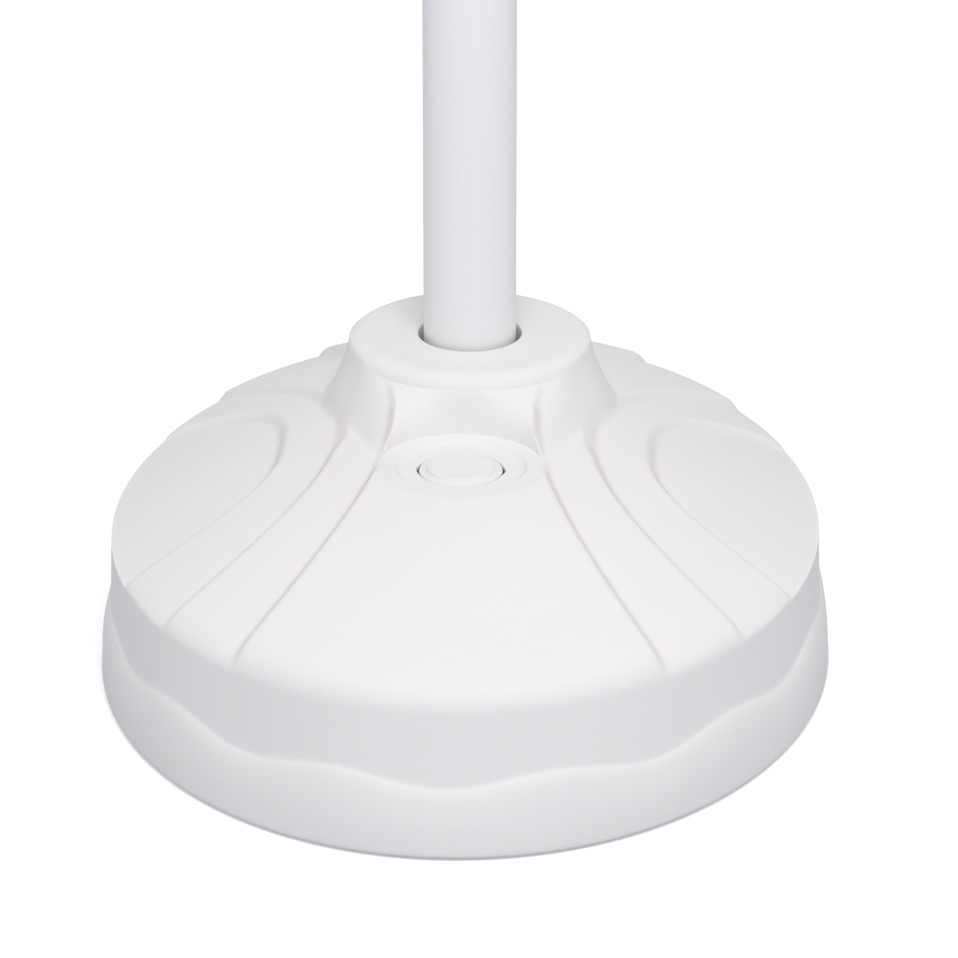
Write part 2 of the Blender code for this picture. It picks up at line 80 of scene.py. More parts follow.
class Body(Enum):
    """The bodies that pieces ride on."""

    BASE = "base"
    SEAL = "seal"
    CAP = "cap"
    BOOT = "boot"
    POST = "post"


class Slot(Enum):
    """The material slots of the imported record."""

    SHELL = "white_plastic"
    CAP = "cap_plastic"
    PAINT = "white_paint"
    RUBBER = "dark_rubber"
    STEEL = "bare_steel"
    SAND = "dry_sand"


def smooth(value: np.ndarray) -> np.ndarray:
    """Return 0 below 0, 1 above 1 and a soft ramp between."""
    part = np.clip(value, 0.0, 1.0)
    return part * part * (3.0 - 2.0 * part)


def mix(start: np.ndarray, end: np.ndarray, part: np.ndarray) -> np.ndarray:
    """Return the value that lies this part of the way from start to end."""
    return start + (end - start) * part


def arc(centre: tuple[float, float], radius: float, start: float, end: float, steps: int) -> Profile:
    """Return profile points on an arc.

    Args:
        centre: distance from the axis and height of the arc's centre.
        radius: size of the arc.
        start: first angle in degrees, 0 outward and 90 up.
        end: last angle in degrees.
        steps: number of segments.

    Returns:
        Points as distance from the axis and height.
    """
    angles = np.radians(np.linspace(start, end, steps + 1))
    return [(centre[0] + radius * math.cos(a), centre[1] + radius * math.sin(a)) for a in angles]


class NodePainter:
    """Wires the shader nodes of one material."""

    def __init__(self, name: str) -> None:
        """Start a material with a Principled shader."""
        self.material = bpy.data.materials.new(name)
        self.material.use_nodes = True
        self.tree = self.material.node_tree
        self.shader = self.tree.nodes["Principled BSDF"]
        self.place = self.add("ShaderNodeTexCoord").outputs["Object"]

    def add(self, kind: str, **settings: object) -> bpy.types.Node:
        """Add a node and set its properties."""
        node = self.tree.nodes.new(kind)
        for key, value in settings.items():
            setattr(node, key, value)
        return node

    def join(self, output: bpy.types.NodeSocket, target: bpy.types.NodeSocket) -> None:
        """Link one socket to another."""
        self.tree.links.new(output, target)

    def noise(
        self, scale: float, detail: float = 2.0, stretch: tuple = (1.0, 1.0, 1.0)
    ) -> bpy.types.NodeSocket:
        """Return a noise pattern on the object's own coordinates.

        Args:
            scale: waves per metre.
            detail: octaves of finer noise.
            stretch: how much denser the pattern is along each axis.

        Returns:
            The socket with the noise value.
        """
        mapping = self.add("ShaderNodeMapping")
        mapping.inputs["Scale"].default_value = stretch
        self.join(self.place, mapping.inputs["Vector"])
        node = self.add("ShaderNodeTexNoise")
        node.inputs["Scale"].default_value = scale
        node.inputs["Detail"].default_value = detail
        self.join(mapping.outputs["Vector"], node.inputs["Vector"])
        return node.outputs["Fac"]

    def ramp(self, value: bpy.types.NodeSocket, stops: list[tuple[float, tuple]]) -> bpy.types.NodeSocket:
        """Return a colour that follows a value through a few stops."""
        node = self.add("ShaderNodeValToRGB")
        points = node.color_ramp.elements
        for point, (place, colour) in zip(points, (stops[0], stops[-1])):
            point.position = place
            point.color = (*colour, 1.0)
        for place, colour in stops[1:-1]:
            points.new(place).color = (*colour, 1.0)
        self.join(value, node.inputs["Fac"])
        return node.outputs["Color"]

    def band(self, value: bpy.types.NodeSocket, low: float, high: float) -> bpy.types.NodeSocket:
        """Return a noise value spread between two numbers."""
        node = self.add("ShaderNodeMapRange")
        node.inputs["From Min"].default_value = 0.3
        node.inputs["From Max"].default_value = 0.7
        node.inputs["To Min"].default_value = low
        node.inputs["To Max"].default_value = high
        self.join(value, node.inputs["Value"])
        return node.outputs["Result"]

    def multiply(self, first: bpy.types.NodeSocket, second: bpy.types.NodeSocket) -> bpy.types.NodeSocket:
        """Return the product of two colours."""
        node = self.add("ShaderNodeMix", data_type="RGBA", blend_type="MULTIPLY")
        node.inputs["Factor"].default_value = 1.0
        self.join(first, node.inputs["A"])
        self.join(second, node.inputs["B"])
        return node.outputs["Result"]

    def bump(
        self, value: bpy.types.NodeSocket, depth: float, below: bpy.types.NodeSocket | None = None
    ) -> bpy.types.NodeSocket:
        """Return a bumped normal, stacked on another one where that is given."""
        node = self.add("ShaderNodeBump")
        node.inputs["Strength"].default_value = 1.0
        node.inputs["Distance"].default_value = depth
        self.join(value, node.inputs["Height"])
        if below is not None:
            self.join(below, node.inputs["Normal"])
        return node.outputs["Normal"]


def tint(colour: tuple, factor: float) -> tuple:
    """Return a colour made darker or lighter by a factor."""
    return tuple(min(1.0, part * factor) for part in colour)


@dataclass(frozen=True)
class MouldedPlastic:
    """White moulded plastic with a fine grain, darker towards the bottom, with painted shade in the step
    creases.
    """

    colour: tuple = (0.84, 0.83, 0.835)
    roughness: tuple = (0.58, 0.68)
    gloss: float = 0.28
    grain: float = 0.00004
    ripple: float = 0.00012
    # height over which the colour darkens towards the bottom, and the tint at the bottom
    darkening_height: float = 0.02
    bottom_tint: tuple = (0.93, 0.925, 0.92)
    # colour of the painted shade at the foot of each step
    dust_and_crease_shade: tuple = (0.90, 0.88, 0.88)

    def make(self, name: str) -> bpy.types.Material:
        """Return the material."""
        paint = NodePainter(name)
        cloud = paint.noise(9.0, 3.0)
        shade = paint.ramp(cloud, [(0.3, tint(self.colour, 0.985)), (0.7, tint(self.colour, 1.008))])
        # darker towards the bottom of the base
        split = paint.add("ShaderNodeSeparateXYZ")
        paint.join(paint.place, split.inputs["Vector"])
        low = paint.add("ShaderNodeMapRange")
        low.inputs["From Max"].default_value = self.darkening_height
        paint.join(split.outputs["Z"], low.inputs["Value"])
        bottom_darkening = paint.ramp(low.outputs["Result"], [(0.0, self.bottom_tint), (1.0, (1.0, 1.0, 1.0))])
        # painted shade: darkens the colour along the foot of each step, where the crease_shade attribute is
        # high
        crease_shade = paint.add("ShaderNodeAttribute", attribute_name="crease_shade")
        dust_and_crease_shade = paint.ramp(crease_shade.outputs["Fac"], [(0.0, (1.0, 1.0, 1.0)), (1.0, self.dust_and_crease_shade)])
        tone_and_painted_shade = paint.multiply(paint.multiply(shade, bottom_darkening), dust_and_crease_shade)
        paint.join(tone_and_painted_shade, paint.shader.inputs["Base Color"])
        rough = paint.band(paint.noise(60.0, 4.0), *self.roughness)
        paint.join(rough, paint.shader.inputs["Roughness"])
        paint.shader.inputs["Specular IOR Level"].default_value = self.gloss
        wave = paint.bump(paint.noise(28.0, 2.0), self.ripple)
        fine = paint.bump(paint.noise(1500.0, 2.0), self.grain, wave)
        paint.join(fine, paint.shader.inputs["Normal"])
        return paint.material


@dataclass(frozen=True)
class PowderCoat:
    """White powder coat with a faint orange peel."""

    colour: tuple = (0.86, 0.87, 0.885)
    roughness: tuple = (0.30, 0.38)
    peel: float = 0.00006

    def make(self, name: str) -> bpy.types.Material:
        """Return the material."""
        paint = NodePainter(name)
        cloud = paint.noise(14.0, 3.0, (1.0, 1.0, 0.4))
        shade = paint.ramp(cloud, [(0.3, tint(self.colour, 0.985)), (0.7, tint(self.colour, 1.006))])
        paint.join(shade, paint.shader.inputs["Base Color"])
        paint.join(paint.band(paint.noise(90.0, 3.0), *self.roughness), paint.shader.inputs["Roughness"])
        paint.join(paint.bump(paint.noise(420.0, 1.0), self.peel), paint.shader.inputs["Normal"])
        return paint.material


@dataclass(frozen=True)
class Rubber:
    """Black rubber, dusty and matt."""

    colour: tuple = (0.045, 0.045, 0.047)
    dust_and_crease_shade: tuple = (0.085, 0.083, 0.08)
    grain: float = 0.00008

    def make(self, name: str) -> bpy.types.Material:
        """Return the material."""
        paint = NodePainter(name)
        shade = paint.ramp(paint.noise(160.0, 5.0), [(0.35, self.colour), (0.8, self.dust_and_crease_shade)])
        paint.join(shade, paint.shader.inputs["Base Color"])
        paint.join(paint.band(paint.noise(300.0, 3.0), 0.65, 0.85), paint.shader.inputs["Roughness"])
        paint.join(paint.bump(paint.noise(1800.0, 2.0), self.grain), paint.shader.inputs["Normal"])
        return paint.material


@dataclass(frozen=True)
class DrawnSteel:
    """Bare drawn steel with marks along the tube."""

    colour: tuple = (0.60, 0.60, 0.61)
    stain: tuple = (0.50, 0.495, 0.49)
    scratch: float = 0.00002

    def make(self, name: str) -> bpy.types.Material:
        """Return the material."""
        paint = NodePainter(name)
        lines = paint.noise(900.0, 3.0, (1.0, 1.0, 0.03))
        shade = paint.ramp(paint.noise(45.0, 4.0), [(0.3, self.stain), (0.65, self.colour)])
        paint.join(shade, paint.shader.inputs["Base Color"])
        paint.join(paint.band(lines, 0.24, 0.42), paint.shader.inputs["Roughness"])
        paint.join(paint.bump(lines, self.scratch), paint.shader.inputs["Normal"])
        paint.shader.inputs["Metallic"].default_value = 1.0
        return paint.material


@dataclass(frozen=True)
class DrySand:
    """Loose dry sand."""

    pale: tuple = (0.62, 0.50, 0.33)
    dark: tuple = (0.40, 0.31, 0.19)
    grain: float = 0.0006

    def make(self, name: str) -> bpy.types.Material:
        """Return the material."""
        paint = NodePainter(name)
        grains = paint.noise(1400.0, 2.0)
        shade = paint.ramp(grains, [(0.35, self.dark), (0.65, self.pale)])
        paint.join(shade, paint.shader.inputs["Base Color"])
        paint.join(paint.bump(grains, self.grain), paint.shader.inputs["Normal"])
        paint.shader.inputs["Roughness"].default_value = 0.95
        return paint.material


class PieceMaker:
    """Turns bmeshes into named pieces that ride on the CAD bodies."""

    SHARP = math.radians(50)
    THREAD_PITCH = 0.004
    THREAD_STEPS = 64
    RIDGE_FOOT = 0.0011
    RIDGE_TOP = 0.0004

    @staticmethod
    def place(verts: list, points: np.ndarray) -> None:
        """Move each vertex to its point."""
        for vert, point in zip(verts, points.tolist()):
            vert.co = point

    @staticmethod
    def loop(mesh: bmesh.types.BMesh, ring: list) -> list:
        """Return the edges of a closed ring of vertices."""
        return [mesh.edges.get(pair) for pair in zip(ring, ring[1:] + ring[:1])]

    @classmethod
    def cover(cls, mesh: bmesh.types.BMesh, ring: list) -> None:
        """Close a ring of vertices with one face."""
        bmesh.ops.contextual_create(mesh, geom=cls.loop(mesh, ring))

    @classmethod
    def grow(cls, mesh: bmesh.types.BMesh, ring: list, points: np.ndarray) -> list:
        """Extrude a closed ring of vertices to new points.

        Args:
            mesh: the mesh to work in.
            ring: the ring's vertices in order.
            points: where the new ring's vertices go.

        Returns:
            The new ring's vertices in the same order.
        """
        grown = bmesh.ops.extrude_edge_only(mesh, edges=cls.loop(mesh, ring))["geom"]
        fresh = {item for item in grown if isinstance(item, bmesh.types.BMVert)}
        raised = [
            next(edge.other_vert(vert) for edge in vert.link_edges if edge.other_vert(vert) in fresh)
            for vert in ring
        ]
        cls.place(raised, points)
        return raised

    @staticmethod
    def turned(
        profile: Profile, axis: tuple[float, float], steps: int, closed: bool = False
    ) -> bmesh.types.BMesh:
        """Turn a profile about an upright axis.

        Args:
            profile: points as distance from the axis and height.
            axis: the axis's place in plan.
            steps: segments round the axis.
            closed: whether the last point joins the first.

        Returns:
            The mesh, with open ends filled flat.
        """
        mesh = bmesh.new()
        verts = [mesh.verts.new((axis[0] + radius, axis[1], height)) for radius, height in profile]
        ends = verts[1:] + verts[:1] if closed else verts[1:]
        edges = [mesh.edges.new(pair) for pair in zip(verts, ends)]
        centre = (axis[0], axis[1], 0.0)
        bmesh.ops.spin(
            mesh, geom=verts + edges, cent=centre, axis=(0, 0, 1), angle=math.tau, steps=steps, use_merge=True
        )
        bmesh.ops.holes_fill(mesh, edges=mesh.edges[:])
        bmesh.ops.recalc_face_normals(mesh, faces=mesh.faces[:])
        return mesh

    @classmethod
    def add_thread(
        cls, mesh: bmesh.types.BMesh, axis: tuple[float, float],
        root: float, crest: float, foot: float, turns: float,
    ) -> None:
        """Add a screw thread's ridge to a mesh.

        Args:
            mesh: the mesh of the shank or bore.
            axis: the axis's place in plan.
            root: distance of the ridge's root from the axis.
            crest: distance of its crest from the axis.
            foot: height of its lower end.
            turns: how often it goes round.
        """
        corners = (
            (root, -cls.RIDGE_FOOT), (crest, -cls.RIDGE_TOP), (crest, cls.RIDGE_TOP), (root, cls.RIDGE_FOOT),
        )
        verts = [mesh.verts.new((axis[0] + radius, axis[1], foot + lift)) for radius, lift in corners]
        edges = [mesh.edges.new(pair) for pair in zip(verts, verts[1:] + verts[:1])]
        steps = int(cls.THREAD_STEPS * turns)
        rise = (0.0, 0.0, cls.THREAD_PITCH * turns / steps)
        bmesh.ops.spin(
            mesh, geom=verts + edges, cent=(axis[0], axis[1], 0.0), axis=(0, 0, 1), dvec=rise,
            angle=math.tau * turns, steps=steps,
        )
        bmesh.ops.holes_fill(mesh, edges=[edge for edge in mesh.edges if edge.is_boundary])
        bmesh.ops.recalc_face_normals(mesh, faces=mesh.faces[:])

    @staticmethod
    def axis_of(node: str) -> tuple[float, float]:
        """Return the place in plan of a round CAD node's axis."""
        low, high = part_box(node)
        return (low.x + high.x) / 2, (low.y + high.y) / 2

    @classmethod
    def finish(cls, name: str, mesh: bmesh.types.BMesh, material: bpy.types.Material) -> bpy.types.Object:
        """Turn a bmesh into a smooth shaded object with a material."""
        data = bpy.data.meshes.new(name)
        mesh.to_mesh(data)
        mesh.free()
        data.shade_smooth()
        data.set_sharp_from_angle(angle=cls.SHARP)
        data.materials.append(material)
        piece = bpy.data.objects.new(name, data)
        bpy.context.scene.collection.objects.link(piece)
        return piece

    @staticmethod
    def hand_over(piece: bpy.types.Object, body: Body, slot: Slot, *nodes: str) -> None:
        """Let a piece ride on a body and stand for CAD nodes."""
        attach(piece, body.value)
        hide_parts(*nodes)
        LOG.info("%s rides on %s: %d faces", piece.name, body.value, len(piece.data.polygons))


@dataclass(frozen=True)
class Lobe:
    """A curved step line on both sides of the dome."""

    tip: float
    reach: float
    mouth: float
    power: float
    back_reach: float
    back_power: float

    def beyond(self, x: np.ndarray, y: np.ndarray) -> np.ndarray:
        """Return how far points lie on the outer side of the line."""
        along = np.abs(y) / self.mouth
        reach = np.where(y > 0.0, self.back_reach, self.reach)
        power = np.where(y > 0.0, self.back_power, self.power)
        edge = self.tip + reach * along ** power
        slope = reach * power / self.mouth * along ** (power - 1.0)
        return (np.abs(x) - edge) / np.hypot(1.0, slope)


@dataclass
class BaseShell:
    """The moulded base with its skirt, stepped lobes, hub, well and dish."""

    finish: MouldedPlastic = MouldedPlastic()
    lobes: tuple = (
        Lobe(0.0361, 0.0675, 0.190, 2.0, 0.0480, 2.0),
        Lobe(0.0650, 0.0643, 0.133, 2.23, 0.0617, 1.7),
        Lobe(0.0956, 0.0452, 0.076, 2.475, 0.0280, 3.2),
    )
    step_drop: float = 0.0044
    step_width: float = 0.0054
    crown: float = 0.1398
    rise: float = 0.0555
    bottom_round: float = 0.0022
    skirt_proud: float = 0.0056
    skirt_flare: float = 0.0006
    skirt_low: float = 0.0319
    skirt_wave: float = 0.0068
    waves: int = 12
    wall_draft: float = 0.0009
    shoulder: float = 0.0125
    hub_reach: tuple = (0.0645, 0.0655)
    hub_flat: float = 0.0560
    hub_rim: float = 0.0085
    mouth_radius: float = 0.0270
    mouth_round: float = 0.0009
    well_foot_radius: float = 0.02715
    well_foot: float = 0.0117
    top_sink: float = 0.0006
    lip: float = 0.0024
    lip_radius: float = 0.0347
    floor_radius: float = 0.0310
    dish_foot: float = 0.0415
    platform_reach: float = 0.0402
    level_reach: float = 0.0405
    level_fade: float = 0.006
    panel_front: float = 0.0175
    panel_corner: float = 0.0400
    panel_rim_angle: float = 38.0
    panel_foot_rise: float = 0.0008
    panel_waist: float = 0.09
    waist_spread: float = 0.35
    panel_hollow: float = 0.80
    flank_hollow: tuple = (1.10, 1.35)
    flank_foot: float = 0.0735
    rim_start: tuple = (8.0, 42.0)
    reach_fade: tuple = (25.0, 45.0)
    rim_fade: float = 28.0
    hollow_fade: float = 50.0
    foot_fade: float = 32.0
    corner_blend: float = 5.0
    bore_gap: float = 0.0004
    bore_round: float = 0.0009
    notch_depth: float = 0.0010
    notch_spread: float = 0.21
    notch_reach: float = 0.002
    notch_foot: float = 0.0025
    undercut: tuple = (0.0022, 0.0028)
    bore_depth: float = 0.0074
    bush_room: float = 0.0225
    barrel_radius: float = 0.0199
    barrel_foot: float = 0.072
    pads: int = 6
    pad_gap: float = 0.0003
    pocket_points: int = 48
    # placement and width of the painted shade band beside each step line
    crease_shade_offset: float = 0.0012
    crease_shade_spread: float = 0.0018
    front_points: int = 122
    back_points: int = 454
    panel_points: int = 86
    dome_rings: int = 54
    wall_rings: int = 30

    def __post_init__(self) -> None:
        """Take the sizes that the CAD frame settles."""
        low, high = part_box("base_shell")
        self.half_width = (high.x - low.x) / 2
        self.half_depth = (high.y - low.y) / 2
        self.underside = low.z
        self.hub_top = high.z
        self.hub_back = PieceMaker.axis_of("post_tube")[1]
        self.dish_forward = -PieceMaker.axis_of("filler_cap")[1]
        cap_low, cap_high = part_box("filler_cap")
        self.bore_radius = (cap_high.x - cap_low.x) / 2 + self.bore_gap
        self.platform = float(self.dome(np.array(0.0), np.array(self.dish_forward + self.platform_reach)))
        self.dish_floor = self.platform - self.lip
        self.wall_inset = self.skirt_proud + self.wall_draft
        self.edge_inset = self.wall_inset + self.shoulder
        self.count = self.front_points + self.back_points
        turns = np.arange(self.count) / self.count
        self.skirt_edge = self.skirt_low + self.skirt_wave * (1 - np.cos(math.tau * self.waves * turns)) / 2
        self.bearings = self.outline_bearings()

    def outline_bearings(self) -> np.ndarray:
        """Return oval angles, 0 at the front, whose points are evenly spaced along the outline."""
        edges = np.linspace(0.0, math.tau, 7201)
        middles = (edges[:-1] + edges[1:]) / 2
        speed = np.hypot(self.half_width * np.cos(middles), self.half_depth * np.sin(middles))
        length = np.concatenate(([0.0], np.cumsum(speed)))
        return np.interp(np.linspace(0.0, length[-1], self.count, endpoint=False), length, edges)

    def oval(self, half_width: float, half_depth: float, height: np.ndarray) -> np.ndarray:
        """Return one oval ring of points at the given heights."""
        x = half_width * np.sin(self.bearings)
        y = -half_depth * np.cos(self.bearings)
        return np.stack([x, y, np.broadcast_to(height, x.shape)], axis=1)

    def inset(self, amount: float, height: np.ndarray) -> np.ndarray:
        """Return an oval ring at one distance inside the outline."""
        return self.oval(self.half_width - amount, self.half_depth - amount, height)

    def dome(self, x: np.ndarray, y: np.ndarray) -> np.ndarray:
        """Return the height of the smooth dome."""
        return self.crown - self.rise * ((x / self.half_width) ** 2 + (y / self.half_depth) ** 2)

    def steps(self, x: np.ndarray, y: np.ndarray) -> list[np.ndarray]:
        """Return for each lobe how much of its step lies behind a point, from 0 to 1."""
        return [smooth(lobe.beyond(x, y) / self.step_width + 0.5) for lobe in self.lobes]

    def terrain(self, x: np.ndarray, y: np.ndarray) -> np.ndarray:
        """Return the height of the stepped dome, level beside the dish."""
        dome = self.dome(x, y)
        around = np.hypot(x, y + self.dish_forward)
        level = 1.0 - smooth((around - self.level_reach) / self.level_fade)
        inner = mix(dome, self.platform, level)
        first, second, third = self.steps(x, y)
        return mix(inner, dome - self.step_drop, first) - self.step_drop * (second + third)

    @staticmethod
    def compass(turn: np.ndarray) -> np.ndarray:
        """Return directions in plan, 0 towards the front and turning to the right."""
        return np.stack([np.sin(turn), -np.cos(turn)], axis=1)

    @staticmethod
    def fade(turn: np.ndarray, start: float, width: float) -> np.ndarray:
        """Return a soft ramp that is so many degrees wide from a start in degrees."""
        return smooth((turn - math.radians(start)) / math.radians(width))

    def egg(self) -> np.ndarray:
        """Return the closed line in plan that runs round the hub and the dish."""
        hub_turn = math.atan2(self.panel_corner, self.hub_back - self.corner_back)
        front = np.linspace(0.0, self.dish_turn, self.front_points // 2 + 1)
        back = np.linspace(hub_turn, math.pi, self.back_points // 2 + 1)
        dish_side = np.array((0.0, -self.dish_forward)) + self.dish_foot * self.compass(front)
        hub_side = np.array((0.0, self.hub_back)) + self.foot_reach * self.compass(back)
        right = np.concatenate([dish_side, hub_side[1:]])
        left = right[-2:0:-1] * (-1.0, 1.0)
        return np.concatenate([right, left])

    @property
    def corner_back(self) -> float:
        """Return how far back the panel's lower corners lie."""
        return -self.dish_forward + math.sqrt(self.dish_foot ** 2 - self.panel_corner ** 2)

    @property
    def dish_turn(self) -> float:
        """Return the angle from the front to the panel's corners, seen from the cap's axis."""
        return math.pi - math.atan2(self.panel_corner, self.corner_back + self.dish_forward)

    @property
    def foot_reach(self) -> float:
        """Return the distance of the hub's foot line from the post's axis."""
        return math.hypot(self.panel_corner, self.hub_back - self.corner_back)

    def panel_line(self) -> np.ndarray:
        """Return the curved foot of the panel between the hub and the dish, from left to right."""
        rise = -self.panel_front - self.corner_back
        radius = (rise ** 2 + self.panel_corner ** 2) / (2 * rise)
        spread = math.asin(self.panel_corner / radius)
        turn = np.linspace(-spread, spread, self.panel_points + 1)[1:-1]
        return np.stack([radius * np.sin(turn), -self.panel_front - radius + radius * np.cos(turn)], axis=1)

    def build_mesh(self) -> bmesh.types.BMesh:
        """Return the closed mesh of the base."""
        mesh = bmesh.new()
        egg = self.egg()
        ring = bmesh.ops.create_circle(mesh, segments=self.count, radius=1.0)["verts"]
        heights = self.terrain(egg[:, 0], egg[:, 1])
        PieceMaker.place(ring, np.column_stack([egg, heights]))
        half = self.front_points // 2
        right_corner, left_corner = ring[half], ring[self.count - half]
        plan = self.panel_line()
        share = np.abs(plan[:, 0]) / self.panel_corner
        level = self.platform + self.panel_foot_rise
        corner_height = heights[half]
        line = self.chain(mesh, left_corner, np.column_stack([plan, mix(level, corner_height, share ** 6)]))
        mesh.edges.new((line[-1], right_corner))

        self.grow_outside(mesh, ring, egg)
        self.grow_hub(mesh, ring[half:self.count - half + 1] + line)
        self.grow_dish(mesh, ring[self.count - half:] + ring[:half + 1] + line[::-1])
        bmesh.ops.recalc_face_normals(mesh, faces=mesh.faces[:])
        return mesh

    @staticmethod
    def chain(mesh: bmesh.types.BMesh, start: bmesh.types.BMVert, points: np.ndarray) -> list:
        """Draw a line of vertices from a start vertex through points and return the new ones."""
        line = [start]
        for point in points.tolist():
            line.append(bmesh.ops.extrude_vert_indiv(mesh, verts=[line[-1]])["verts"][0])
            line[-1].co = point
        return line[1:]

    def grow_outside(self, mesh: bmesh.types.BMesh, ring: list, egg: np.ndarray) -> None:
        """Build the dome outside the hub and dish, the shoulder, wall, skirt and underside."""
        outer = self.inset(0.0, 0.0)[:, :2] * (1.0 - self.edge_inset / self.half_width)
        for part in np.linspace(0.0, 1.0, self.dome_rings + 1)[1:]:
            plan = mix(egg, outer, part)
            ring = PieceMaker.grow(mesh, ring, np.column_stack([plan, self.terrain(plan[:, 0], plan[:, 1])]))
        for points in self.shoulder_rings() + self.skirt_rings():
            ring = PieceMaker.grow(mesh, ring, points)
        self.close_underside(mesh, ring)

    def shoulder_rings(self) -> list[np.ndarray]:
        """Return the rings that round the dome over into the wall, from the top down."""
        share = 1.0 - self.edge_inset / self.half_width
        wall_share = 1.0 - self.wall_inset / self.half_width
        corner_height = self.crown - self.rise * wall_share ** 2
        dome_height = self.crown - self.rise * share ** 2
        dome = np.array((self.half_width * share, self.half_depth * share, dome_height))
        wall = np.array((self.half_width - self.wall_inset, self.half_depth - self.wall_inset, 0.0))
        corner = wall.copy()
        wall[2] = corner_height - self.shoulder
        corner[2] = corner_height
        rings = []
        for part in np.linspace(1.0, 0.0, 15)[1:]:
            spot = wall * (1 - part) ** 2 + corner * 2 * part * (1 - part) + dome * part ** 2
            points = self.oval(spot[0], spot[1], spot[2])
            drop = self.step_drop * sum(self.steps(points[:, 0], points[:, 1]))
            points[:, 2] -= drop * (1.0 - (1.0 - part) ** 2)
            rings.append(points)
        self.wall_top = float(wall[2])
        return rings

    def skirt_rings(self) -> list[np.ndarray]:
        """Return the rings of the wall, the wavy lip, the skirt and the rounded bottom edge."""
        edge = self.skirt_edge
        lip = self.lip_curve()
        rings = []
        for part in np.linspace(0.0, 1.0, 10)[1:]:
            inset = mix(self.wall_inset, self.skirt_proud, part)
            rings.append(self.inset(inset, mix(self.wall_top, edge + lip[0][1], part)))
        for inset, lift in lip[1:]:
            rings.append(self.inset(inset, edge + lift))
        foot = self.underside + self.bottom_round
        for part in np.linspace(0.0, 1.0, 9)[1:]:
            rings.append(self.inset(self.skirt_flare * (1 - part), mix(edge + lip[-1][1], foot, part)))
        for angle in np.radians(np.linspace(0.0, 90.0, 6)[1:]):
            inset = self.bottom_round * (1.0 - math.cos(angle))
            rings.append(self.inset(inset, foot - self.bottom_round * math.sin(angle)))
        return rings

    def lip_curve(self) -> Profile:
        """Return the soft lip of the skirt as inset and height above its edge, from the wall down."""
        hollow = ((0.0056, 0.0090), (0.0056, 0.0054), (0.0049, 0.0044))
        roll = ((0.0049, 0.0044), (0.0030, 0.0022), (0.0008, -0.0065), (0.0006, -0.0190))
        points = []
        for part in np.linspace(0.0, 1.0, 5)[:-1]:
            weights = ((1 - part) ** 2, 2 * part * (1 - part), part ** 2)
            points.append(tuple(sum(w * p[i] for w, p in zip(weights, hollow)) for i in range(2)))
        for part in np.linspace(0.0, 1.0, 11):
            weights = ((1 - part) ** 3, 3 * part * (1 - part) ** 2, 3 * part ** 2 * (1 - part), part ** 3)
            points.append(tuple(sum(w * p[i] for w, p in zip(weights, roll)) for i in range(2)))
        return points

    def close_underside(self, mesh: bmesh.types.BMesh, ring: list) -> None:
        """Fill the flat underside and sink a pocket for each foot pad."""
        edges = PieceMaker.loop(mesh, ring)
        pockets = []
        for number in range(1, self.pads + 1):
            low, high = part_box(f"foot_pad_{number}")
            spot = ((low.x + high.x) / 2, (low.y + high.y) / 2, self.underside)
            radius = (high.x - low.x) / 2 + self.pad_gap
            circle = bmesh.ops.create_circle(mesh, segments=self.pocket_points, radius=radius)["verts"]
            bmesh.ops.translate(mesh, verts=circle, vec=spot)
            pockets.append((circle, high.z + self.pad_gap))
            edges += PieceMaker.loop(mesh, circle)
        bmesh.ops.triangle_fill(mesh, use_beauty=True, edges=edges, normal=(0.0, 0.0, -1.0))
        for circle, top in pockets:
            points = np.array([vert.co for vert in circle])
            points[:, 2] = top
            PieceMaker.cover(mesh, PieceMaker.grow(mesh, circle, points))

    def grow_hub(self, mesh: bmesh.types.BMesh, ring: list) -> None:
        """Build the hub's wall, panel, rim and top, and the post's well."""
        foot = np.array([vert.co for vert in ring])
        rim_turn = math.radians(self.panel_rim_angle)
        turn = np.concatenate([
            np.linspace(rim_turn, math.tau - rim_turn, self.back_points + 1),
            np.linspace(math.tau - rim_turn, math.tau + rim_turn, self.panel_points + 1)[1:-1],
        ])
        aim = self.compass(turn)
        axis = np.array((0.0, self.hub_back))
        wall_top = self.hub_top - self.hub_rim
        from_front = np.abs((turn + math.pi) % math.tau - math.pi)
        reach = mix(*self.hub_reach, self.fade(from_front, *self.reach_fade))[:, None]
        rim_part = self.fade(from_front, self.panel_rim_angle, self.rim_fade)
        start = np.radians(mix(*self.rim_start, rim_part))
        rim = axis + mix(self.hub_flat, reach, np.cos(start)[:, None]) * aim
        rim_low = wall_top + self.hub_rim * np.sin(start)
        flank = smooth((from_front - rim_turn) / math.radians(self.corner_blend) + 0.5)[:, None]
        hollow = mix(*self.flank_hollow, self.fade(from_front, self.panel_rim_angle, self.hollow_fade))
        shorter = (self.foot_reach - self.hub_flat) / (self.flank_foot - self.hub_flat)
        quicken = mix(1.0, shorter, self.fade(from_front, self.panel_rim_angle, self.foot_fade))
        at_corner = np.exp(-((from_front - rim_turn) / self.waist_spread) ** 2)
        for part in np.linspace(1.0, 0.0, self.wall_rings + 1)[1:]:
            out = part ** 1.3
            up = self.hollow_height(np.minimum(out * quicken, 1.0), hollow)
            plan = mix(rim, foot[:, :2], out)
            ground = self.dome(plan[:, 0], plan[:, 1]) - self.step_drop
            detail = self.terrain(plan[:, 0], plan[:, 1]) - ground
            side = np.column_stack([plan, mix(ground + detail * (1.0 - up), rim_low, up)])
            up = self.hollow_height(np.full(len(turn), out), self.panel_hollow)
            panel = np.column_stack([plan, mix(foot[:, 2], rim_low, up)])
            points = mix(panel, side, flank)
            points[:, 0] *= 1.0 - self.panel_waist * math.sin(math.pi * out) * at_corner
            ring = PieceMaker.grow(mesh, ring, points)
        for part in np.linspace(0.0, 1.0, 11)[1:]:
            angle = mix(start, math.pi / 2, part)
